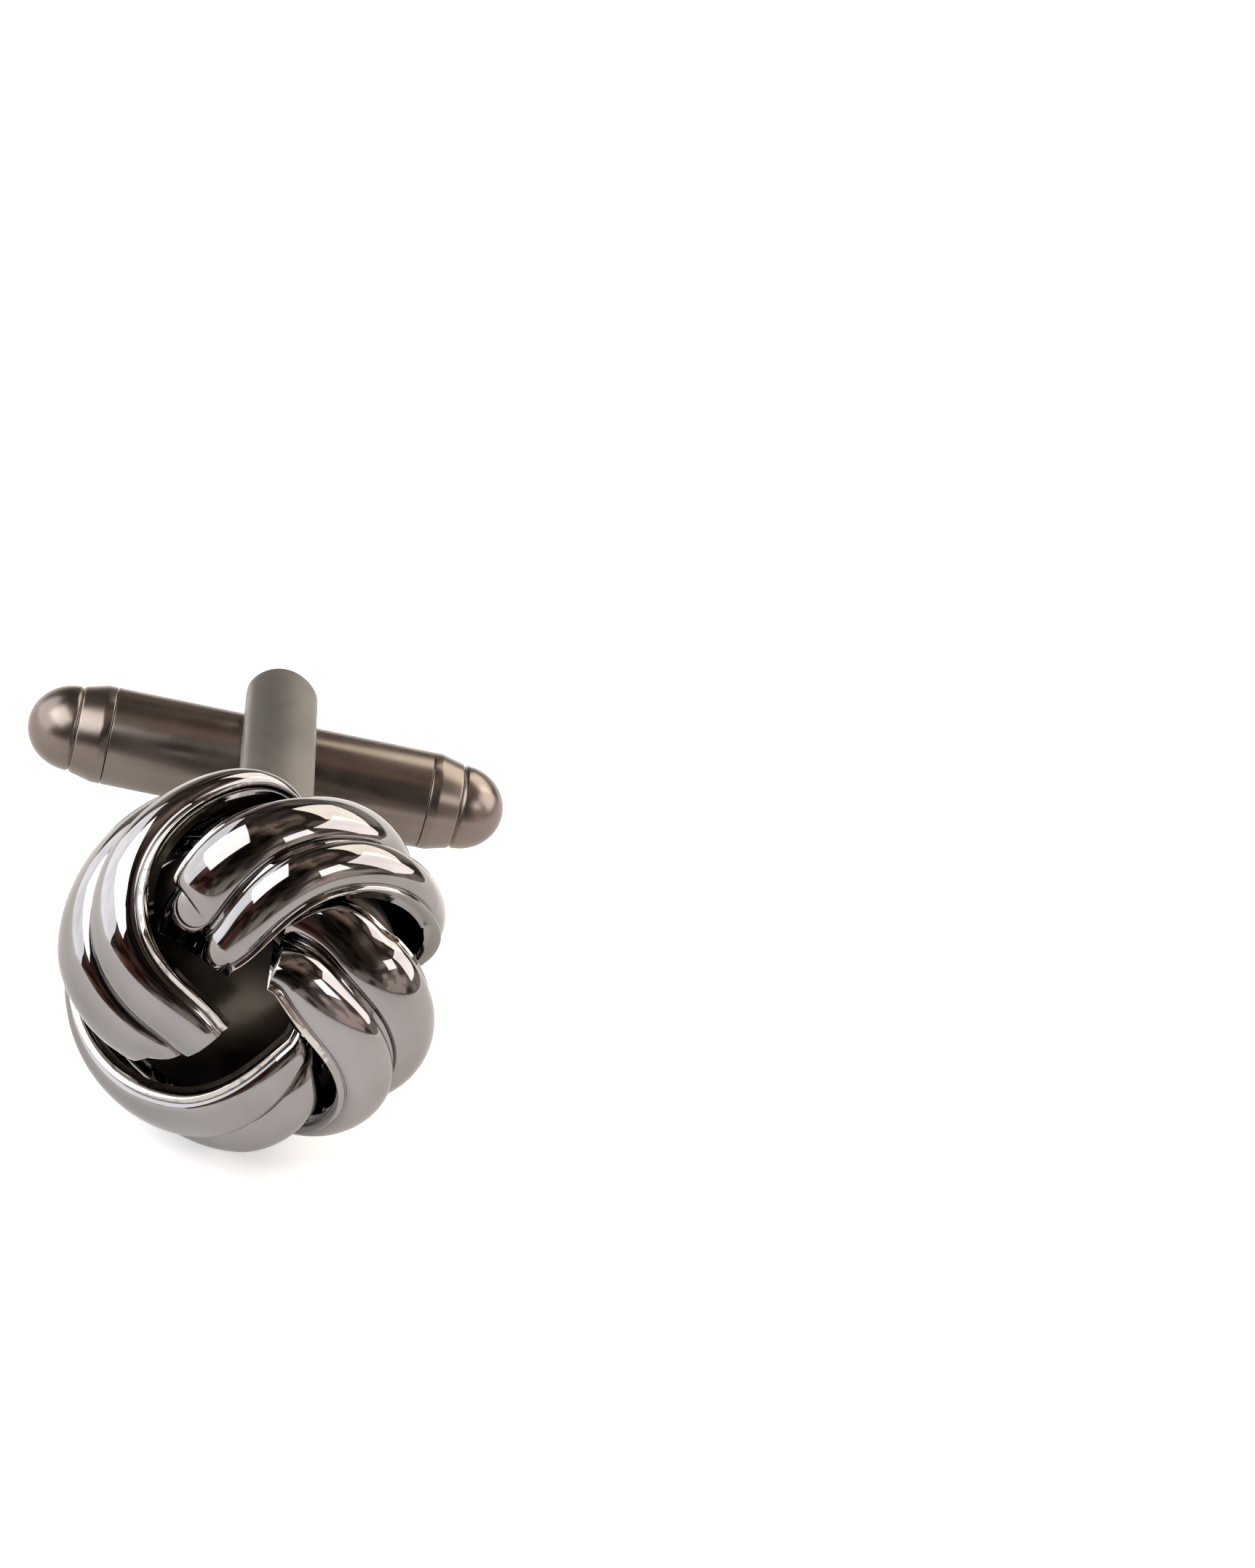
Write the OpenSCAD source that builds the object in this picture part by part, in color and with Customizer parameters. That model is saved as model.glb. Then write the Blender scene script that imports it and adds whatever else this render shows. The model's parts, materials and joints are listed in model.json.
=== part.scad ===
/* [Knot] */
// Diameter over the crests of the beads
head_d = 15; // [13:0.5:18]
// Height of a bead over the groove between the two beads of a strip
bead_h = 0.85; // [0.5:0.05:1]
// Height of the flat edges over the groove
edge_h = 0.2; // [0.1:0.05:0.35]
// Width of the flat edge outside each bead
edge_w = 0.3; // [0.15:0.05:0.45]
// Width of the flat groove between the beads
groove_w = 0.2; // [0.1:0.05:0.4]
// Thickness of a strip under its groove
strip_t = 0.45; // [0.3:0.05:0.6]
// Width of a strip from its middle line to the edge nearest the eye
strip_in = 2.5; // [2.3:0.05:2.6]
// Width of a strip from its middle line to the edge nearest the rim
strip_out = 3.1; // [2.8:0.05:3.15]
// Depth to which each end of a strip dives under its neighbour
dive = 2.3; // [2:0.1:2.5]
// Share of the ball's depth that is kept in front of the rim
front_share = 0.72; // [0.6:0.02:0.9]
// Share of the ball's depth that is kept behind the rim
back_share = 0.96; // [0.8:0.02:1.04]

/* [Back] */
// Diameter of the round plate that closes the back of the knot
plate_d = 8.6; // [8:0.2:10]
// Thickness of the back plate
plate_t = 0.7; // [0.5:0.1:1.2]
// Diameter of the rivet's shank
rivet_d = 1.6; // [1.2:0.1:2]
// Diameter of the rivet's head
rivet_head_d = 2.4; // [2.2:0.1:2.8]
// Height of the rivet's head
rivet_head_h = 0.45; // [0.3:0.05:0.7]

/* [Fork] */
// Width of the fork's two flat arms
arm_w = 3; // [2.6:0.1:3.4]
// Thickness of an arm at its middle
arm_t = 1.1; // [0.8:0.05:1.4]
// Thickness of the fork's floor
floor_t = 1; // [0.7:0.05:1.3]
// Clear height between the arms
fork_gap = 4.6; // [4.4:0.1:5.2]
// Radius inside the two bends of the fork
bend_r = 1.1; // [0.8:0.1:1.6]
// Distance from the fork's floor to the pivot
floor_to_pivot = 10.75; // [10.6:0.1:13]
// Length of the arms past the pivot
arm_tail = 2.95; // [2.4:0.05:3.6]
// Radius of the soft dome across the outside of the arms
dome_r = 2.8; // [2.2:0.1:6]

/* [Toggle] */
// Length of the swivel bar
toggle_l = 20.2; // [18:0.2:20.8]
// Diameter of the swivel bar
toggle_d = 4.1; // [3.9:0.05:4.2]
// Length of the cap at each end of the bar
cap_l = 3.4; // [3.2:0.1:5]
// Distance from the tip to the start of the cap's taper
taper_l = 3; // [2.6:0.1:3.1]
// Length of the domed tip
tip_l = 1.9; // [1.5:0.1:2.3]
// Diameter of the domed tip where it leaves the taper
tip_d = 3.56; // [3:0.02:3.8]
// Width of the ring turned in behind the domed tip
ring_w = 0.16; // [0.1:0.02:0.3]
// Depth of the ring turned in behind the domed tip
ring_t = 0.08; // [0.05:0.01:0.15]
// Diameter of the bore along the bar
bar_bore_d = 2.8; // [2.6:0.05:3]
// Length of the plug on a cap that is pressed into the bore
plug_l = 1.4; // [1:0.1:1.8]

/* [Pivot] */
// Diameter of the pivot pin
pin_d = 1.2; // [1:0.05:1.4]
// Running clearance round the pin in the bar
pin_fit = 0.05; // [0.02:0.01:0.09]
// Depth of the four flats that hold the bar across or in line
flat_cut = 0.1; // [0.05:0.01:0.14]
// Thickness of the leaf springs
leaf_t = 0.22; // [0.15:0.01:0.3]
// Width of the leaf springs
leaf_w = 1.5; // [1.2:0.1:1.7]
// Clearance between the ends of a leaf spring and the plugs of the caps
leaf_end_fit = 0.8; // [0.1:0.1:1.2]
// Clearance between a leaf spring and the corners of the pin
leaf_fit = 0.05; // [0.03:0.01:0.08]

/* [Hidden] */
// Overrun of every cut past the faces it goes through
over = 0.5;
// Gap between pieces that are soldered or pressed face to face
seat = 0.02;
// Gap between the bowl and the strips that bear on it
core_gap = 0.08;

// Path of a strip over the ball: from beside the eye, a half turn round, to behind the rim.
// Angles are clockwise from the top seen from the front, and out from the middle of the face.
// Lists give the strips that start at the top left, top right, bottom right and bottom left of the
// eye, each bent a little otherwise by hand.
turn_from_deg = [-45, -40, -45, -45];
turn_to_deg = 108;
out_from_deg = [35, 31, 37, 35];
out_to_deg = 136;
// Places along the path, as shares of it, where each strip starts and where it has come up level
start_shares = [-0.15, -0.2, -0.06, -0.15];
level_shares = [0.1, 0.08, 0.18, 0.06];
// How much further back the edge nearest the eye starts than the middle of the strip
skew_shares = [0.05, 0.03, 0.03, 0.04];
skew_end_share = 0.4;
// Where the strips begin to dive again, lie deep and end
dip_share = 0.68;
deep_share = 1;
end_share = 1.27;
// Powers of the two dives, and how much of its width the strip keeps at its ends
start_power = 1.5;
end_power = 2;
start_width_shares = [0.8, 0.9, 0.8, 0.8];
end_width_share = 0.85;
// Roll of a strip, as rise over width: its edge nearest the eye comes up past the rim.
// Shares of the path where the roll starts, is full, fades and is gone again, and of the
// strip's inner width where its height is kept.
roll_share = 0.25;
roll_shares = [0.35, 0.8, 0.75, 1];
roll_line_share = 0.5;
// Share of the roll that the outer part of the strip takes
roll_outer_share = 0.4;
// Place of the eye, right and up from the middle of the face, as shares of the ball's radius
eye_shares = [0.02, 0.14];
// Step along the path over which its direction is taken
step_share = 0.001;
// Rings along a strip and points over a bead
rings = 48;
bead_n = 6;

// Radius of the ball on which the grooves of the strips lie
ball_r = head_d / 2 - bead_h;
function clamp(t) = max(0, min(1, t));
function path(t, n) =
    let (a = turn_from_deg[n] + (turn_to_deg - turn_from_deg[n]) * t,
         p = out_from_deg[n] + (out_to_deg - out_from_deg[n]) * (1 - cos(180 * clamp(t))) / 2)
    [sin(p) * sin(a), -cos(p), sin(p) * cos(a)];
function unit(v) = v / norm(v);
function drop(t, n) =
    dive * pow(clamp((level_shares[n] - t) / (level_shares[n] - start_shares[n])), start_power)
    + dive * pow(clamp((t - dip_share) / (deep_share - dip_share)), end_power);
function breadth(t, n) =
    let (k = t < 0.5 ? start_width_shares[n] : end_width_share)
    k + (1 - k) * sin(180 * clamp(t));
function roll(t) =
    roll_share * clamp((t - roll_shares[0]) / (roll_shares[1] - roll_shares[0]))
    * clamp((roll_shares[3] - t) / (roll_shares[3] - roll_shares[2]));
function rolled(x) = x > 0 ? x * roll_outer_share : x;
function turned(v, a) = [v[0] * cos(a) + v[2] * sin(a), v[1], v[2] * cos(a) - v[0] * sin(a)];
function to_eye(v) = unit(v + max(-v[1], 0) * [eye_shares[0], 0, eye_shares[1]]);

// Cross-section of a strip: its flat edges, its two beads with the groove between, and its back
function bead(a, b) =
    [for (i = [0:bead_n]) [(a + b) / 2 - (b - a) / 2 * cos(180 * i / bead_n),
        edge_h / 2 + (bead_h - edge_h / 2) * sin(180 * i / bead_n)]];
section = concat(
    [[-strip_in, -strip_t], [-strip_in, edge_h]],
    bead(-strip_in + edge_w, -groove_w / 2),
    bead(groove_w / 2, strip_out - edge_w),
    [[strip_out, edge_h], [strip_out, -strip_t], [strip_out / 2, -strip_t], [0, -strip_t], [-strip_in / 2, -strip_t]]);
sides = len(section);

function strip_point(q, t, n) =
    let (u = t + skew_shares[n] * q[0] / strip_in * clamp((skew_end_share - t) / skew_end_share),
         c = path(u, n), s = unit(cross(c, path(u + step_share, n) - path(u - step_share, n))),
         w = q[0] * breadth(u, n) / ball_r * 180 / PI,
         v = to_eye(turned(c * cos(w) + s * sin(w), 90 * n))
             * (ball_r + q[1] - drop(u, n) - roll(u) * rolled(q[0] + strip_in * roll_line_share)))
    [v[0], v[1] * (v[1] < 0 ? front_share : back_share), v[2]];
function strip_points(n) = [for (i = [0:rings], q = section)
    strip_point(q, start_shares[n] + (end_share - start_shares[n]) * i / rings, n)];
strip_faces = concat(
    [for (i = [0:rings - 1], j = [0:sides - 1])
        let (a = i * sides + j, b = i * sides + (j + 1) % sides)
        each [[a, a + sides, b], [b, a + sides, b + sides]]],
    [for (j = [1:sides - 2]) [0, j, j + 1]],
    [for (j = [1:sides - 2]) [rings * sides, rings * sides + j + 1, rings * sides + j]]);

// Places along the depth of the part, from the middle of the knot backwards
plate_y = max([for (n = [0:3], q = strip_points(n)) q[1]]) + seat;
plate_back_y = plate_y + plate_t;
fork_y = plate_back_y;
floor_y = fork_y + floor_t;
pivot_y = floor_y + floor_to_pivot;
tail_y = pivot_y + arm_tail;
arm_z = fork_gap / 2 + arm_t;
core_r = ball_r - dive - strip_t - core_gap;

// The part lies on the rim of the knot and on the ends of the lower arm
lean = asin(head_d / 2 / norm([tail_y, arm_z])) - atan(arm_z / tail_y);

barrel_l = toggle_l - 2 * cap_l;
leaf_l = barrel_l - 2 * (plug_l + leaf_end_fit);
// Radius of the rivet's low dome, over its head's own width and height
rivet_head_r = (pow(rivet_head_d / 2, 2) + pow(rivet_head_h, 2)) / (2 * rivet_head_h);
// Distance from the crest of an arm to the end of the pin, and the length of its flats
pin_sink = 0.06;
flat_l = 2.4;
// Angle from the back at which the neck leaves the bowl
neck_deg = 18;
// Bulge of the bowl between two angles from the front, as a share of the dive
belly_share = 0.74;
belly_from_deg = 48;
belly_to_deg = 110;
// Steps over the dome of a tip, and over the bowl
cap_n = 12;
bowl_n = 36;

$fn = 96;

// Puts a piece drawn straight behind the knot into the lying part, with the middle
// of the back plate, where the cuff bears, at the origin
module lying() {
    rotate([-lean, 0, 0]) translate([0, -plate_back_y, 0]) children();
}

// Lays a profile, drawn as radius over distance, along the depth of the part
module turned_back() {
    rotate([-90, 0, 0]) rotate_extrude() children();
}

module strip(n) {
    lying() polyhedron(strip_points(n), strip_faces);
}

module knot_band_top() { color("#5b5552") strip(0); }
module knot_band_right() { color("#5b5552") strip(1); }
module knot_band_bottom() { color("#5b5552") strip(2); }
module knot_band_left() { color("#5b5552") strip(3); }

// Closed bowl under the strips: a flattened ball with a neck to the back plate
module knot_core() {
    neck = [core_r * sin(neck_deg), core_r * back_share * cos(neck_deg)];
    ball = [for (i = [0:bowl_n]) let (a = neck_deg + (180 - neck_deg) * i / bowl_n,
            r = core_r + dive * belly_share * pow(sin(180 * clamp((180 - a - belly_from_deg) / (belly_to_deg - belly_from_deg))), 2))
        [r * sin(a), r * (a > 90 ? front_share : back_share) * cos(a)]];
    color("#2b2725") lying() turned_back()
        polygon(concat([for (i = [bowl_n:-1:0]) ball[i]], [[neck[0], plate_y - seat],
            [rivet_d / 2 + seat, plate_y - seat], [rivet_d / 2 + seat, plate_y - rivet_head_h], [0, plate_y - rivet_head_h]]));
}

module back_plate() {
    edge = plate_t / 3;
    color("#6e6763") lying() translate([0, plate_y, 0]) turned_back()
        polygon([[rivet_d / 2 + seat, 0], [plate_d / 2 - edge, 0], [plate_d / 2, edge], [plate_d / 2, plate_t - edge],
            [plate_d / 2 - edge, plate_t], [rivet_d / 2 + seat, plate_t]]);
}

// Outline of a bent strip seen from the side: straight back, two round bends, open at the tail
module u_outline(from, half, r, to) {
    translate([from + r, -half]) square([to - from - r, 2 * half]);
    translate([from, -half + r]) square([2 * r, 2 * (half - r)]);
    for (s = [-1, 1]) translate([from + r, s * (half - r)]) circle(r);
}

// Half of an arm's cross-section: a bar whose outer side is a soft dome
module domed_side() {
    translate([0, arm_z - dome_r]) circle(dome_r);
    translate([-dome_r, -arm_z - over]) square([2 * dome_r, 2 * arm_z - dome_r + over]);
}

module fork() {
    color("#a39c94") lying() difference() {
        intersection() {
            translate([-arm_w / 2, 0, 0]) rotate([90, 0, 90]) linear_extrude(arm_w) difference() {
                u_outline(fork_y, arm_z, bend_r + floor_t, tail_y);
                u_outline(floor_y, fork_gap / 2, bend_r, tail_y + over);
            }
            translate([0, 0, -arm_z - over]) linear_extrude(2 * (arm_z + over)) union() {
                translate([-arm_w / 2, fork_y - over]) square([arm_w, tail_y - arm_w / 2 - fork_y + over]);
                translate([0, tail_y - arm_w / 2]) circle(d = arm_w);
            }
            translate([0, tail_y + over, 0]) rotate([90, 0, 0]) linear_extrude(tail_y - fork_y + 2 * over)
                intersection() {
                    domed_side();
                    mirror([0, 1]) domed_side();
                }
        }
        translate([0, pivot_y, -arm_z - over]) cylinder(d = pin_d + 2 * seat, h = 2 * (arm_z + over));
        translate([0, fork_y - over, 0]) rotate([-90, 0, 0]) cylinder(d = rivet_d + 2 * seat, h = floor_t + 2 * over);
    }
}

// The shank goes through the plate and the fork's floor, with its head in the slot
module fork_rivet() {
    from = plate_y - rivet_head_h + seat;
    color("#8d8680") lying() translate([0, from, 0]) turned_back() {
        square([rivet_d / 2, floor_y + 2 * seat - from]);
        translate([0, floor_y + seat - from]) intersection() {
            translate([0, rivet_head_h - rivet_head_r]) circle(rivet_head_r);
            square([rivet_head_d / 2, rivet_head_h]);
        }
    }
}

module pivot_pin() {
    side = pin_d - 2 * flat_cut;
    color("#8d8680") lying() translate([0, pivot_y, 0]) difference() {
        cylinder(d = pin_d, h = 2 * (arm_z - pin_sink), center = true);
        for (a = [0:90:270]) rotate([0, 0, a])
            translate([side / 2, -pin_d / 2, -flat_l / 2]) cube([pin_d, pin_d, flat_l]);
    }
}

// Turns a profile drawn as radius over distance round the bar, from the pivot to the right
module turned_right() {
    lying() translate([0, pivot_y, 0]) rotate([0, 90, 0]) rotate_extrude() children();
}

module toggle_barrel() {
    color("#a39c94") difference() {
        lying() translate([0, pivot_y, 0]) rotate([0, 90, 0]) difference() {
            cylinder(d = toggle_d, h = barrel_l, center = true);
            cylinder(d = bar_bore_d, h = barrel_l + 2 * over, center = true);
        }
        lying() translate([0, pivot_y, 0]) cylinder(d = pin_d + 2 * pin_fit, h = toggle_d + 2 * over, center = true);
    }
}

module end_cap() {
    from = barrel_l / 2 + seat;
    tip = toggle_l / 2;
    slope = (toggle_d - tip_d) / 2 / (taper_l - tip_l);
    nose = [for (i = [0:cap_n]) let (a = 90 * i / cap_n) [tip_d / 2 * cos(a), tip - tip_l + tip_l * sin(a)]];
    polygon(concat(
        [[0, from - plug_l], [bar_bore_d / 2 - seat, from - plug_l], [bar_bore_d / 2 - seat, from],
            [toggle_d / 2, from], [toggle_d / 2, tip - taper_l],
            [tip_d / 2 + slope * ring_w, tip - tip_l - ring_w],
            [tip_d / 2 - ring_t, tip - tip_l - ring_w / 2]],
        nose));
}
module end_cap_right() { color("#a39c94") turned_right() end_cap(); }
module end_cap_left() { color("#a39c94") turned_right() mirror([0, 1]) end_cap(); }

// Bowed strip: its middle bears on a flat of the pin, its ends on the wall of the bore
module leaf(side) {
    near = pin_d / 2 + leaf_fit;
    rise = sqrt(pow(bar_bore_d / 2 - seat, 2) - pow(leaf_w / 2, 2)) - near - leaf_t;
    bow_r = (pow(leaf_l / 2, 2) + pow(rise, 2)) / (2 * rise);
    color("#777370") lying() translate([0, pivot_y, 0]) scale([1, side, 1])
        translate([0, 0, -leaf_w / 2]) linear_extrude(leaf_w) intersection() {
            translate([-leaf_l / 2, near - over]) square([leaf_l, rise + leaf_t + 2 * over]);
            difference() {
                translate([0, near + leaf_t + bow_r]) circle(bow_r + leaf_t, $fn = 720);
                translate([0, near + leaf_t + bow_r]) circle(bow_r, $fn = 720);
            }
        }
}
module leaf_front() { leaf(-1); }
module leaf_back() { leaf(1); }

knot_band_top();
knot_band_right();
knot_band_bottom();
knot_band_left();
knot_core();
back_plate();
fork();
fork_rivet();
pivot_pin();
toggle_barrel();
end_cap_left();
end_cap_right();
leaf_front();
leaf_back();
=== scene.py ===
import json
import math
import bpy
import numpy as np
from mathutils import Matrix, Vector


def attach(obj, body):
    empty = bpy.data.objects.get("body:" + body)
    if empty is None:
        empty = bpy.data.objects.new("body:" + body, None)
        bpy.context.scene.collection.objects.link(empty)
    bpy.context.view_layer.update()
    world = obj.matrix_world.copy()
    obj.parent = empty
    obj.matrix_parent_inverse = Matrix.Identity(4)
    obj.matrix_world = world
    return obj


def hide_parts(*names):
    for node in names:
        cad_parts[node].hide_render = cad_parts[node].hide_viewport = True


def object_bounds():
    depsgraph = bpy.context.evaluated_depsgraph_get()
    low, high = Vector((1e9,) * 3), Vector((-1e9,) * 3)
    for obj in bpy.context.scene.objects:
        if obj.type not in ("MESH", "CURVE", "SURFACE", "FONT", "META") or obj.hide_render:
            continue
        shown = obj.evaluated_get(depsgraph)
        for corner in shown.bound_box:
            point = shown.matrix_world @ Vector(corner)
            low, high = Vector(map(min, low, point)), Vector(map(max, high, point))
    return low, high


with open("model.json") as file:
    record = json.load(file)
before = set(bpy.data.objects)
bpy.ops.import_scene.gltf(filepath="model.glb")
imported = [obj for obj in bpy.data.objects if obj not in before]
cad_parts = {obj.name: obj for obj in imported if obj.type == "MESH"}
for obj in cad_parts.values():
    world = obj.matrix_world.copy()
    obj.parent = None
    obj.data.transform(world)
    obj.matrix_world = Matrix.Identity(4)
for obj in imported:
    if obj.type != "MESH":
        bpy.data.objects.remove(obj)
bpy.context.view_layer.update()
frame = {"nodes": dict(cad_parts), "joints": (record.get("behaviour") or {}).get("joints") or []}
MM = 0.001

# Sizes of the cufflink in millimetres, drawn straight behind the knot:
# X to the right, Y from the knot back to the bar, Z up, 0 in the middle of the knot.

# Gap between pieces that are soldered or pressed face to face
SEAT = 0.02

# Cross-section of a strip: two beads, the groove between them and flat edges
BEAD_H = 0.8
EDGE_H = 0.2
EDGE_W = 0.3
GROOVE_W = 0.2
STRIP_T = 0.45
STRIP_IN = 2.5
STRIP_OUT = 3.1

# The ball that the strips are wound on, flatter in front than behind, with its eye above the
# middle and a little to the right, as shares of the ball's radius
BALL_R = 6.65
FRONT_SHARE = 0.72
BACK_SHARE = 0.96
EYE_SHARES = (0.02, 0, 0.14)

# The bowl lies inside the strips where they have dived deepest
DIVE = 2.3
CORE_GAP = 0.08
CORE_R = BALL_R - DIVE - STRIP_T - CORE_GAP

# The closing plate and the rivet that holds the fork to it
PLATE_Y = 5.118
PLATE_T = 0.7
PLATE_R = 4.3
PLATE_ROUND = 0.22
PLATE_BACK = PLATE_Y + PLATE_T
RIVET_R = 0.8
RIVET_HEAD_R = 1.2
RIVET_HEAD_H = 0.45
RIVET_SUNK = 0.4

# The fork and the pin through its arms
FLOOR_T = 1.0
ARM_T = 1.1
ARM_HALF_W = 1.5
HALF_GAP = 2.3
BEND_R = 1.1
ARM_DOME_R = 2.8
FLOOR_TO_PIVOT = 10.75
ARM_TAIL = 2.95
FLOOR_Y = PLATE_BACK + FLOOR_T
PIVOT_Y = FLOOR_Y + FLOOR_TO_PIVOT
TAIL_Y = PIVOT_Y + ARM_TAIL
PIN_R = 0.6
PIN_HALF_L = 3.3
PIN_ROUND = 0.1

# The swivel bar, with the cone, ring and domed tip of its caps
BAR_HALF_L = 10.1
BAR_R = 2.05
CAP_L = 3.4
CONE_L = 3
CONE_END_R = 1.815
TIP_L = 1.9
TIP_R = 1.78
RING_W = 0.16
RING_DEPTH = 0.08
SEAM_ROUND = 0.03
CAP_ROUND = 0.07

# The lean with which it lies comes from the axis of its own pivot
axis = Vector(frame["joints"][0]["axis"])
LEAN = math.atan2(axis.y, axis.z)
LYING = Matrix.Rotation(-LEAN, 4, "X") @ Matrix.Translation((0, -PLATE_BACK * MM, 0))


def linear(hexed):
    """A colour written as sRGB hex, in linear light"""
    parts = [int(hexed[i:i + 2], 16) / 255 for i in (1, 3, 5)]
    return [c / 12.92 if c <= 0.04045 else ((c + 0.055) / 1.055) ** 2.4 for c in parts] + [1]


def add(tree, kind, links=None, **settings):
    """Adds a node. A setting is one of its properties or, with _ for a space, one of its inputs."""
    made = tree.nodes.new(kind)
    for name, value in settings.items():
        if hasattr(made, name):
            setattr(made, name, value)
        else:
            made.inputs[name.replace("_", " ")].default_value = value
    for socket, source in (links or {}).items():
        tree.links.new(source, made.inputs[socket])
    return made


def blank_material(name):
    made = bpy.data.materials.new(name)
    made.use_nodes = True
    made.node_tree.nodes.clear()
    return made, made.node_tree


def ramp(tree, source, stops):
    made = add(tree, "ShaderNodeValToRGB", {"Fac": source})
    band = made.color_ramp
    while len(band.elements) < len(stops):
        band.elements.new(0.5)
    for element, (at, colour) in zip(band.elements, stops):
        element.position = at
        element.color = colour
    return made


def over(tree, below, mask, colour):
    """A plain colour laid over another where the mask is 1"""
    made = add(tree, "ShaderNodeMix", {0: mask, 6: below}, data_type="RGBA")
    made.inputs[7].default_value = colour
    return made.outputs[2]


def metal(name, light, dark, rough, wave, grain, bare=None, clean=1.0):
    """A plated metal: two tones that drift slowly over the surface, a haze of uneven polish,
    the low waves that a buffing wheel leaves, and fine handling scratches. The scratches are
    drawn wider than real ones, so that they show.

    rough is the least and the most roughness, wave and grain are each a width and a height in mm,
    bare is the metal that shows at worn edges, and clean is the share that is free of oxide."""
    wave_mm, wave_height_mm = wave
    grain_mm, grain_height_mm = grain
    tone_mm = wave_mm * 3
    swell_mm = wave_mm * 1.6
    chip_mm = 0.35
    made, tree = blank_material(name)
    place = {"Vector": add(tree, "ShaderNodeTexCoord").outputs["Object"]}
    drift = add(tree, "ShaderNodeTexNoise", place, Scale=1 / (tone_mm * MM), Detail=2.0)
    tone = ramp(tree, drift.outputs["Fac"], [(0.35, linear(dark)), (0.65, linear(light))])
    shown = tone.outputs["Color"]
    if bare:
        edge = add(tree, "ShaderNodeAttribute", attribute_type="GEOMETRY", attribute_name="worn")
        chips = add(tree, "ShaderNodeTexNoise", place, Scale=1 / (chip_mm * MM), Detail=3.0)
        rubbed = add(tree, "ShaderNodeMath", {0: edge.outputs["Fac"], 1: chips.outputs["Fac"]},
                     operation="MULTIPLY")
        through = add(tree, "ShaderNodeMapRange", {"Value": rubbed.outputs[0]},
                      From_Min=0.3, From_Max=0.42)
        shown = over(tree, shown, through.outputs["Result"], linear(bare))
    haze = add(tree, "ShaderNodeTexNoise", place, Scale=1 / (wave_mm * MM), Detail=4.0)
    polish = add(tree, "ShaderNodeMapRange", {"Value": haze.outputs["Fac"]},
                 From_Min=0.3, From_Max=0.7, To_Min=rough[0], To_Max=rough[1])
    swell = add(tree, "ShaderNodeTexNoise", place, Scale=1 / (swell_mm * MM), Detail=0.0)
    buffed = add(tree, "ShaderNodeBump", {"Height": swell.outputs["Fac"]},
                 Strength=1.0, Distance=wave_height_mm * MM)
    scratches = add(tree, "ShaderNodeTexNoise", place, Scale=1 / (grain_mm * MM), Detail=3.0)
    handled = add(tree, "ShaderNodeBump",
                  {"Height": scratches.outputs["Fac"], "Normal": buffed.outputs["Normal"]},
                  Strength=1.0, Distance=grain_height_mm * MM)
    skin = add(tree, "ShaderNodeBsdfPrincipled",
               {"Base Color": shown, "Roughness": polish.outputs["Result"],
                "Normal": handled.outputs["Normal"]}, Metallic=clean)
    add(tree, "ShaderNodeOutputMaterial", {"Surface": skin.outputs["BSDF"]})
    return made


# Black rhodium plate over polished brass: a dark mirror, a little brown, that shows the room
# above and the white board in its lower sides. The lips of the strips are rubbed pale.
rhodium = metal("black_rhodium_plate_polished", "#969393", "#8b8887", rough=(0.02, 0.06),
                wave=(1.2, 0.004), grain=(0.08, 0.00012), bare="#c2bdb7")
# The plate is thin and dull with oxide down in the gaps of the knot, where the wheel doesn't reach
recess = metal("black_rhodium_plate_unpolished", "#51483f", "#38312b", rough=(0.3, 0.45),
               wave=(0.8, 0.004), grain=(0.05, 0.0006), clean=0.5)
# Nickel plate over cast brass, tumbled bright: soft broad reflections
nickel = metal("nickel_plate_tumbled", "#8e8a86", "#827e7a", rough=(0.42, 0.5),
               wave=(1.5, 0.006), grain=(0.06, 0.0003))
# Turned brass bar under the same nickel, with tighter highlights. Its tones are painted darker and
# browner than the fork's: painted shade for the dim brown room the bar mirrors.
bar_nickel_painted_darker = metal("nickel_plate_turned_painted_darker", "#877e77", "#7a7069", rough=(0.24, 0.32),
                   wave=(1.8, 0.003), grain=(0.07, 0.0002))
# Drawn stainless steel: pale and bright at the ends of the pin
pin_steel = metal("stainless_steel_drawn", "#b4b2ae", "#a09e9a", rough=(0.2, 0.3),
                  wave=(0.8, 0.002), grain=(0.04, 0.0003))
# Blued spring steel: a cold grey
spring_steel = metal("spring_steel_blued", "#8b8d92", "#75777c", rough=(0.25, 0.35),
                     wave=(0.8, 0.002), grain=(0.04, 0.0003))


def piece(name, points, faces, body, material, nodes, worn=None):
    """Lays a mesh drawn straight behind the knot into the lying part, on its body"""
    mesh = bpy.data.meshes.new(name)
    mesh.from_pydata([tuple(float(c) * MM for c in p) for p in points], [], faces)
    mesh.materials.append(material)
    mesh.transform(LYING)
    if worn is not None:
        values = mesh.attributes.new("worn", "FLOAT", "POINT").data
        values.foreach_set("value", np.asarray(worn, np.float32))
    mesh.update()
    for polygon in mesh.polygons:
        polygon.use_smooth = True
    made = bpy.data.objects.new(name, mesh)
    bpy.context.scene.collection.objects.link(made)
    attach(made, body)
    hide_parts(*nodes)


def skinned(rings):
    """Points and faces of a closed skin over rings that all have as many points"""
    n, m = len(rings), len(rings[0])
    points = [p for ring in rings for p in ring]
    faces = [(i * m + j, i * m + (j + 1) % m, (i + 1) * m + (j + 1) % m, (i + 1) * m + j)
             for i in range(n - 1) for j in range(m)]
    faces += [tuple(reversed(range(m))), tuple(range((n - 1) * m, n * m))]
    return points, faces


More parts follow.
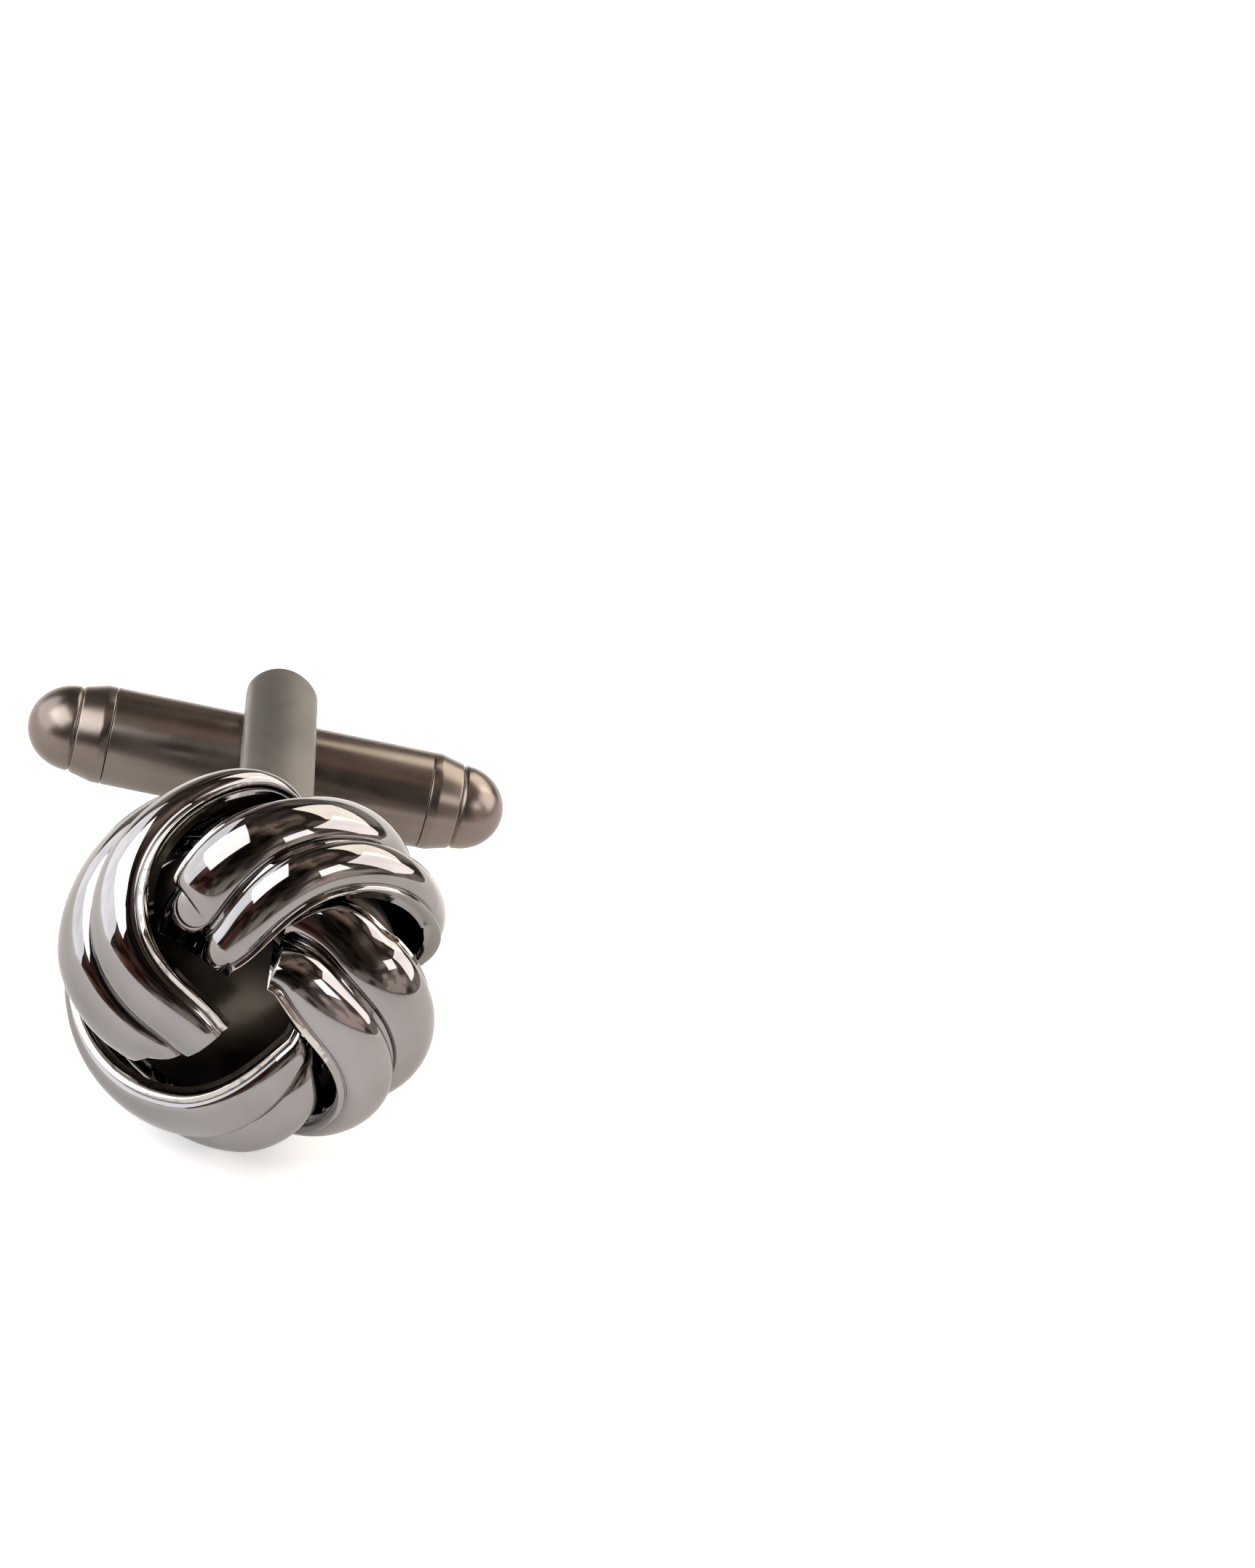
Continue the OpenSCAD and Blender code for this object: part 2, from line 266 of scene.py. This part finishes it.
def rounded(outline, r, steps=5):
    """An open outline with each of its corners turned into an arc of about r"""
    least_turn, least_cut, most_share = 0.2, 1e-4, 0.45
    made = [outline[0]]
    for a, b, c in zip(outline, outline[1:], outline[2:]):
        a, b, c = (np.array(p, float) for p in (a, b, c))
        u, v = a - b, c - b
        lu, lv = np.linalg.norm(u), np.linalg.norm(v)
        turn = abs(u[0] * v[1] - u[1] * v[0]) / max(lu * lv, 1e-9)
        cut = min(r, most_share * lu, most_share * lv)
        if turn < least_turn or cut < least_cut:
            made.append(tuple(b))
            continue
        p, q = b + u / lu * cut, b + v / lv * cut
        made += [tuple((1 - t) ** 2 * p + 2 * t * (1 - t) * b + t * t * q)
                 for t in np.linspace(0, 1, steps)]
    return made + [outline[-1]]


def lathe(outline, about, at=(0, 0, 0)):
    """Turns (radius, distance) pairs round the axis about, with poles where the radius is 0"""
    steps, pole_r = 144, 1e-6
    points, faces, rings = [], [], []
    for r, d in outline:
        count = 1 if r < pole_r else steps
        rings.append(list(range(len(points), len(points) + count)))
        for k in range(count):
            a = 2 * math.pi * k / steps
            u, v = r * math.cos(a), r * math.sin(a)
            p = {"X": (d, u, v), "Y": (v, d, u), "Z": (u, v, d)}[about]
            points.append(tuple(p[i] + at[i] for i in range(3)))
    for lower, upper in zip(rings, rings[1:]):
        for k in range(steps):
            a, b = lower[k % len(lower)], lower[(k + 1) % len(lower)]
            c, d = upper[(k + 1) % len(upper)], upper[k % len(upper)]
            face = tuple(dict.fromkeys((a, b, c, d)))
            if len(face) > 2:
                faces.append(face)
    return points, faces


# Path of a strip: from beside the eye, a half turn round, to behind the rim, in degrees about the
# head and out from the middle of its face, with its two ends as shares of its length
TURN_TO, OUT_TO = 108, 136
END_SHARE = 1.27
# Shares of the length where the slant of the start and its dive are over, and where the dive
# under the neighbour begins and how long it goes on
SLANT_TO, LEVEL_FROM, DIP_FROM, DIP_L = 0.4, 0.3, 0.68, 0.32
# Powers of the dives at the start and the end, and of the way the strip widens
START_POWER, END_POWER, WIDEN_POWER = 1.3, 2, 1.5
END_WIDTH = 0.85
# Roll of a strip, as rise over width: its edge nearest the eye comes up past the rim.
# It starts at a share of the length, is full after another and fades over the last.
ROLL, ROLL_FROM, ROLL_RISE, ROLL_FADE = 0.25, 0.35, 0.45, 0.25
ROLL_LINE, ROLL_OUTER = 0.5, 0.4
# Step along the path over which its direction is taken, and rings along a strip
STEP = 0.001
STRIP_RINGS = 280


def clamp(v):
    return np.clip(v, 0, 1)


def strip_section():
    """Outline of a strip as (across, height) pairs, from its inner back edge over the beads"""
    foot_angle, bead_points, back_points, lip_r = 0.06, 29, 9, 0.06

    def bead(a, b):
        return [((a + b) / 2 - (b - a) / 2 * math.cos(q),
                 EDGE_H / 2 + (BEAD_H - EDGE_H / 2) * math.sin(q))
                for q in np.linspace(foot_angle, math.pi - foot_angle, bead_points)]

    inner = bead(-STRIP_IN + EDGE_W, -GROOVE_W / 2)
    outer = bead(GROOVE_W / 2, STRIP_OUT - EDGE_W)
    edge_w, edge_h = EDGE_W * 0.8, EDGE_H * 0.95
    groove_w, groove_h = GROOVE_W * 0.35, EDGE_H * 0.7
    top = [(-STRIP_IN, -STRIP_T), (-STRIP_IN, EDGE_H), (-STRIP_IN + edge_w, edge_h)] + inner
    top += [(-groove_w, groove_h), (groove_w, groove_h)] + outer
    top += [(STRIP_OUT - edge_w, edge_h), (STRIP_OUT, EDGE_H), (STRIP_OUT, -STRIP_T)]
    under = [(x, -STRIP_T) for x in np.linspace(STRIP_OUT * 0.9, -STRIP_IN * 0.9, back_points)]
    return np.array(rounded(top, lip_r, 4) + under)


def strip_path(t, turn_from, out_from, late):
    """Unit direction of the strip's middle at shares t of its length"""
    a = np.radians(turn_from + (TURN_TO - turn_from) * t)
    p = np.radians(out_from + (OUT_TO - out_from) * ((1 - np.cos(np.pi * clamp(t))) / 2) ** late)
    return np.stack([np.sin(p) * np.sin(a), -np.cos(p), np.sin(p) * np.cos(a)], -1)


def strip_rings(turn, turn_from, out_from, late, start, skew, start_width, dive, lift):
    """Rings of points of one strip, wound from the eye out over the rim.

    turn is its quarter turn about the head. Its path sets out at turn_from and out_from degrees,
    stays near the eye longer the larger late is, and begins at the share start. skew moves the
    outer edge of the start along the path. There the strip has start_width of its width and lies
    dive deep, and its edge nearest the eye is spared the share lift of that."""
    x, h = strip_section().T[:, None]
    along = np.linspace(start, END_SHARE, STRIP_RINGS)[:, None]
    t = along + skew * np.maximum(x, 0) / STRIP_IN * clamp((SLANT_TO - along) / SLANT_TO)
    middle = strip_path(t, turn_from, out_from, late)
    ahead = strip_path(t + STEP, turn_from, out_from, late)
    behind = strip_path(t - STEP, turn_from, out_from, late)
    side = np.cross(middle, ahead - behind)
    side /= np.linalg.norm(side, axis=-1)[..., None]

    sunk = dive * clamp((LEVEL_FROM - along) / (LEVEL_FROM - start)) ** START_POWER
    sunk = sunk * (1 - lift * clamp(-x / STRIP_IN))
    drop = sunk + DIVE * clamp((t - DIP_FROM) / DIP_L) ** END_POWER
    keep = np.where(t < 0.5, start_width, END_WIDTH)
    across = x * (keep + (1 - keep) * np.sin(np.pi * clamp(t)) ** WIDEN_POWER) / BALL_R
    reach = x + STRIP_IN * ROLL_LINE
    roll = ROLL * clamp((t - ROLL_FROM) / ROLL_RISE) * clamp((1 - t) / ROLL_FADE)
    roll = roll * np.where(reach > 0, ROLL_OUTER * reach, reach)

    points = middle * np.cos(across)[..., None] + side * np.sin(across)[..., None]
    q = math.radians(turn)
    points = points @ np.array([[math.cos(q), 0, -math.sin(q)], [0, 1, 0], [math.sin(q), 0, math.cos(q)]])
    points = points + np.maximum(-points[..., 1], 0)[..., None] * np.array(EYE_SHARES)
    points /= np.linalg.norm(points, axis=-1)[..., None]
    points *= (BALL_R + h - drop - roll)[..., None]
    points[..., 1] *= np.where(points[..., 1] < 0, FRONT_SHARE, BACK_SHARE)
    return points


def strip(name, rubbed, **bend):
    """One strip of the knot, its lips rubbed pale from its start to a share of its length"""
    rings = strip_rings(**bend)
    points, faces = skinned(rings)
    x = strip_section()[:, 0]
    lip_share, fade_share = 0.4, 0.15
    lip = clamp((np.maximum(-x - STRIP_IN, x - STRIP_OUT) + EDGE_W) / (lip_share * EDGE_W))
    lengthwise = clamp((rubbed - np.linspace(0, 1, STRIP_RINGS)) / fade_share)
    worn = np.outer(lengthwise, lip).ravel()
    piece("strip_" + name, points, faces, "head", rhodium, ["knot_band_" + name], worn)


# The knot: four stamped strips of two beads, bent by hand and so each a little different
strip("top", rubbed=0.45, turn=0, turn_from=-45, out_from=35, late=0.9, start=-0.13, skew=-0.05,
      start_width=0.95, dive=2.1, lift=0.4)
strip("right", rubbed=0.45, turn=90, turn_from=-40, out_from=31, late=1.3, start=-0.26, skew=-0.06,
      start_width=1.15, dive=2.15, lift=1)
strip("bottom", rubbed=0.95, turn=180, turn_from=-45, out_from=37, late=1, start=-0.08, skew=0.05,
      start_width=0.8, dive=2.3, lift=0.4)
strip("left", rubbed=0.65, turn=270, turn_from=-45, out_from=35, late=0.9, start=-0.06, skew=0.15,
      start_width=1, dive=0.9, lift=0.4)


# The bowl under the strips: a flattened ball that bulges towards the rim, with a neck to the plate
def bowl_outline():
    neck_deg, belly, belly_from_deg, belly_deg, count = 162, 1.7, 48, 62, 72
    line = []
    for q in np.linspace(0, neck_deg, count):
        r = CORE_R + belly * math.sin(math.pi * min(max((q - belly_from_deg) / belly_deg, 0), 1)) ** 2
        q = math.radians(180 - q)
        share = FRONT_SHARE if math.cos(q) < 0 else BACK_SHARE
        line.append((r * math.sin(q), r * math.cos(q) * share))
    return line + [(line[-1][0], PLATE_Y - SEAT), (0, PLATE_Y - SEAT)]


points, faces = lathe(bowl_outline(), "Y")
piece("inner_bowl", points, faces, "head", recess, ["knot_core"])

plate = rounded([(0, PLATE_Y), (PLATE_R, PLATE_Y), (PLATE_R, PLATE_BACK), (0, PLATE_BACK)],
                PLATE_ROUND, 8)
points, faces = lathe(plate, "Y")
piece("closing_plate", points, faces, "head", rhodium, ["back_plate"])


# The fork: one strip bent into a U, flat inside, softly domed outside, with round ends
def fork_stations():
    """From the end of the lower arm round to the end of the upper: distance from the arm's end,
    place of the inner face as (y, z), its way out to the outer face, and how far that is domed"""
    past_end = 99
    end_count, arm_count, bend_count, floor_count = 18, 30, 16, 8
    line = []
    straight = TAIL_Y - FLOOR_Y - BEND_R
    ends = ARM_HALF_W * (1 - np.cos(np.linspace(0, math.pi / 2, end_count)))
    for s in np.concatenate([ends, np.linspace(ARM_HALF_W, straight, arm_count)[1:]]):
        line.append((s, (TAIL_Y - s, -HALF_GAP), (0, -1), 1.0))
    for q in np.linspace(0, math.pi / 2, bend_count)[1:]:
        place = (FLOOR_Y + BEND_R - BEND_R * math.sin(q), -HALF_GAP + BEND_R - BEND_R * math.cos(q))
        line.append((past_end, place, (-math.sin(q), -math.cos(q)), math.cos(q) ** 2))
    for z in np.linspace(-HALF_GAP + BEND_R, 0, floor_count)[1:]:
        line.append((past_end, (FLOOR_Y, z), (-1, 0), 0.0))
    return line + [(s, (y, -z), (ny, -nz), domed) for s, (y, z), (ny, nz), domed in reversed(line[:-1])]


def eased(r, edge):
    """How far a face with an edge rounded by r has sunk at this distance from the edge"""
    return 0 if edge > r else r - math.sqrt(max(r * r - (r - edge) ** 2, 0))


def fork_rings():
    outer_round, inner_round, least_half_w, points_across = 0.22, 0.12, 0.02, 25
    rings = []
    for s, (y, z), (ny, nz), domed in fork_stations():
        short = max(ARM_HALF_W - s, 0)
        half = max(math.sqrt(ARM_HALF_W ** 2 - short ** 2), least_half_w)
        thick = FLOOR_T + (ARM_T - FLOOR_T) * domed
        outer, inner = [], []
        for x in half * np.sin(np.linspace(-math.pi / 2, math.pi / 2, points_across)):
            edge = max(ARM_HALF_W - math.hypot(x, short), 0)
            sag = (ARM_DOME_R - math.sqrt(ARM_DOME_R ** 2 - x * x)) * domed
            high, low = thick - sag - eased(outer_round, edge), eased(inner_round, edge)
            outer.append((x, y + ny * high, z + nz * high))
            inner.append((x, y + ny * low, z + nz * low))
        rings.append(outer + inner[::-1])
    return rings


points, faces = skinned(fork_rings())
piece("bent_fork", points, faces, "head", nickel, ["fork"])

# The rivet's shank, with a low dome on the floor of the fork
dome_r = (RIVET_HEAD_R ** 2 + RIVET_HEAD_H ** 2) / (2 * RIVET_HEAD_H)
crest = FLOOR_Y + SEAT + RIVET_HEAD_H
dome = [(dome_r * math.sin(q), crest - dome_r * (1 - math.cos(q)))
        for q in np.linspace(math.asin(RIVET_HEAD_R / dome_r), 0, 12)]
foot = PLATE_Y - RIVET_SUNK
points, faces = lathe([(0, foot), (RIVET_R, foot), (RIVET_R, FLOOR_Y + SEAT / 2)] + dome, "Y")
piece("rivet", points, faces, "head", nickel, ["fork_rivet"])

pin = rounded([(0, -PIN_HALF_L), (PIN_R, -PIN_HALF_L), (PIN_R, PIN_HALF_L), (0, PIN_HALF_L)], PIN_ROUND)
points, faces = lathe(pin, "Z", (0, PIVOT_Y, 0))
piece("pivot", points, faces, "head", pin_steel, ["pivot_pin"])

# The swivel bar: a turned tube and two bullet caps, each with a fine ring behind its domed tip
seam = BAR_HALF_L - CAP_L
tube = rounded([(0, -seam), (BAR_R, -seam), (BAR_R, seam), (0, seam)], SEAM_ROUND)
points, faces = lathe(tube, "X", (0, PIVOT_Y, 0))
piece("bar_tube", points, faces, "toggle", bar_nickel_painted_darker, ["toggle_barrel"])

tip_from = BAR_HALF_L - TIP_L
tip = [(TIP_R * math.cos(q), tip_from + TIP_L * math.sin(q)) for q in np.linspace(0, math.pi / 2, 30)]
cap = [(0, seam + SEAT), (BAR_R, seam + SEAT), (BAR_R, BAR_HALF_L - CONE_L),
       (CONE_END_R, tip_from - RING_W), (TIP_R - RING_DEPTH, tip_from - RING_W / 2)]
cap = rounded(cap + tip[:1], CAP_ROUND, 6) + tip[1:-1] + [(0, BAR_HALF_L)]
for name, side in (("left", -1), ("right", 1)):
    points, faces = lathe([(r, side * d) for r, d in cap], "X", (0, PIVOT_Y, 0))
    if side < 0:
        faces = [tuple(reversed(f)) for f in faces]
    piece("bar_cap_" + name, points, faces, "toggle", bar_nickel_painted_darker, ["end_cap_" + name])

# The leaf springs are hidden in the bar, so their solids stay and take a finish
for name in ("leaf_front", "leaf_back"):
    shown = frame["nodes"][name]
    shown.data.materials.clear()
    shown.data.materials.append(spring_steel)

# Camera, at the photograph's place: right, up and back are its own axes in the part's frame,
# and its focal length and the width of the photograph are in pixels
right = Vector((0.96592, -0.01502, 0.25839))
up = Vector((-0.19926, 0.59400, 0.77940))
back = Vector((-0.16520, -0.80433, 0.57076))
eye = Vector((-8.698, -103.083, 81.846)) * MM
FOCAL_PX, PHOTO_PX = 4640.8, 1725
SENSOR_MM = 36
lens = bpy.data.cameras.new("camera")
lens.sensor_fit = "HORIZONTAL"
lens.sensor_width = SENSOR_MM
lens.lens = FOCAL_PX / PHOTO_PX * SENSOR_MM
lens.clip_start = 0.005
lens.clip_end = 20
camera = bpy.data.objects.new("camera", lens)
camera.matrix_world = Matrix.Translation(eye) @ Matrix((right, up, back)).transposed().to_4x4()
bpy.context.scene.collection.objects.link(camera)
bpy.context.scene.camera = camera

# The floor: matt white board that keeps the object's shadow. To the camera it glows, more so
# farther out where the windows don't reach, and metal and glass see a faint even glow.
FLOOR_HALF = 0.6
FAINT_GLOW = 0.1
paper, tree = blank_material("white_board_matt")
path = add(tree, "ShaderNodeLightPath")
mirrored = add(tree, "ShaderNodeMath",
               {0: path.outputs["Is Camera Ray"], 1: path.outputs["Is Glossy Ray"]}, operation="MAXIMUM")
clear = add(tree, "ShaderNodeMath",
            {0: mirrored.outputs[0], 1: path.outputs["Is Transmission Ray"]}, operation="MAXIMUM")
faint = add(tree, "ShaderNodeMath", {0: clear.outputs[0]}, operation="MULTIPLY")
faint.inputs[1].default_value = FAINT_GLOW
spot = add(tree, "ShaderNodeTexCoord")
reach = add(tree, "ShaderNodeVectorMath", {0: spot.outputs["Object"]}, operation="LENGTH")
paler = add(tree, "ShaderNodeMapRange", {"Value": reach.outputs["Value"]},
            From_Min=0.05, From_Max=0.25, To_Min=0.35, To_Max=1.0)
glow = add(tree, "ShaderNodeMath",
           {0: path.outputs["Is Camera Ray"], 1: paler.outputs["Result"], 2: faint.outputs[0]},
           operation="MULTIPLY_ADD")
lit = add(tree, "ShaderNodeBsdfDiffuse", Color=linear("#f4f3f1"))
shine = add(tree, "ShaderNodeEmission", {"Strength": glow.outputs[0]}, Color=linear("#ffffff"))
both = add(tree, "ShaderNodeAddShader", {0: lit.outputs[0], 1: shine.outputs[0]})
add(tree, "ShaderNodeOutputMaterial", {"Surface": both.outputs[0]})
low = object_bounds()[0][2]
corners = [(x * FLOOR_HALF, y * FLOOR_HALF, low) for x, y in ((-1, -1), (1, -1), (1, 1), (-1, 1))]
board = bpy.data.meshes.new("floor")
board.from_pydata(corners, [], [(0, 1, 2, 3)])
board.materials.append(paper)
floor = bpy.data.objects.new("floor", board)
bpy.context.scene.collection.objects.link(floor)


def direction(azimuth, elevation):
    """The way out from the object, with azimuth 0 in front of the knot and rising to the right"""
    a, e = math.radians(azimuth), math.radians(elevation)
    return Vector((math.sin(a) * math.cos(e), -math.cos(a) * math.cos(e), math.sin(e)))


def facing(tree, way, azimuth, elevation, inner, outer):
    """1 within inner degrees of a direction seen from the object, and 0 beyond outer degrees"""
    towards = add(tree, "ShaderNodeVectorMath", {0: way}, operation="DOT_PRODUCT")
    towards.inputs[1].default_value = direction(azimuth, elevation)
    near = add(tree, "ShaderNodeMapRange", {"Value": towards.outputs["Value"]},
               interpolation_type="SMOOTHSTEP",
               From_Min=math.cos(math.radians(outer)), From_Max=math.cos(math.radians(inner)))
    return near.outputs["Result"]


def grey(v):
    return (v, v, v, 1)


# The room: white to the camera, and to the metal a dim brown room with paler and darker things
# in it. Its colours are levels of light, so they are linear. Each patch has its azimuth and
# elevation, the degrees within which it is full and beyond which it has gone, and its light.
PATCHES = {
    "pale wall at the right": (52, 22, 14, 34, (0.55, 0.45, 0.40, 1)),
    "dark above at the rear left": (-150, 58, 18, 34, (0.07, 0.055, 0.045, 1)),
    "dark behind the camera": (-4, 44, 18, 36, (0.04, 0.028, 0.022, 1)),
    "red-brown at the left": (-37, 14, 9, 22, (0.15, 0.065, 0.045, 1)),
}
world = bpy.data.worlds.new("studio")
world.use_nodes = True
tree = world.node_tree
tree.nodes.clear()
path = add(tree, "ShaderNodeLightPath")
way = add(tree, "ShaderNodeTexCoord").outputs["Generated"]
up_way = add(tree, "ShaderNodeSeparateXYZ", {"Vector": way})
height = ramp(tree, up_way.outputs["Z"], [(0.0, (0.34, 0.30, 0.27, 1)), (0.4, (0.20, 0.155, 0.13, 1)),
                                          (0.7, (0.15, 0.105, 0.08, 1)), (1.0, (0.30, 0.22, 0.17, 1))])
room = height.outputs["Color"]
for azimuth, elevation, inner, outer, light in PATCHES.values():
    room = over(tree, room, facing(tree, way, azimuth, elevation, inner, outer), light)
cloud = add(tree, "ShaderNodeTexNoise", {"Vector": way}, Scale=3.5, Detail=1.0)
things = ramp(tree, cloud.outputs["Fac"],
              [(0.42, grey(0.3)), (0.46, grey(0.85)), (0.55, grey(1.1)), (0.58, grey(1.7))])
seen = add(tree, "ShaderNodeMix", {6: room, 7: things.outputs["Color"]},
           data_type="RGBA", blend_type="MULTIPLY")
seen.inputs[0].default_value = 1.0
dim = add(tree, "ShaderNodeBackground", {"Color": seen.outputs[2]}, Strength=1.0)
white = add(tree, "ShaderNodeBackground", Color=linear("#ffffff"), Strength=1.0)
pick = add(tree, "ShaderNodeMixShader",
           {0: path.outputs["Is Camera Ray"], 1: dim.outputs[0], 2: white.outputs[0]})
add(tree, "ShaderNodeOutputWorld", {"Surface": pick.outputs[0]})
bpy.context.scene.world = world


def window(name, azimuth, elevation, width, height, strength, tint="#ffffff"):
    """A square-cornered soft light that faces the object, sized in metres"""
    distance = 0.25
    at = direction(azimuth, elevation) * distance
    lamp = bpy.data.lights.new(name, "AREA")
    lamp.shape = "RECTANGLE"
    lamp.size = width
    lamp.size_y = height
    lamp.energy = strength * math.pi * width * height
    lamp.color = linear(tint)[:3]
    made = bpy.data.objects.new(name, lamp)
    made.matrix_world = Matrix.Translation(at) @ at.to_track_quat("Z", "Y").to_matrix().to_4x4()
    bpy.context.scene.collection.objects.link(made)


window("window_left", -97, 22, 0.40, 0.22, 2.4, "#f6f9ff")
window("window_left_high", -66, 49, 0.24, 0.17, 3.8)
window("window_right", 101, 29, 0.19, 0.18, 3.0, "#fff6f2")
window("window_rear", 143, 38, 0.19, 0.16, 3.0, "#fff8ea")
window("window_small", 55, 37, 0.07, 0.08, 3.2)

bpy.context.scene.view_settings.view_transform = "Standard"
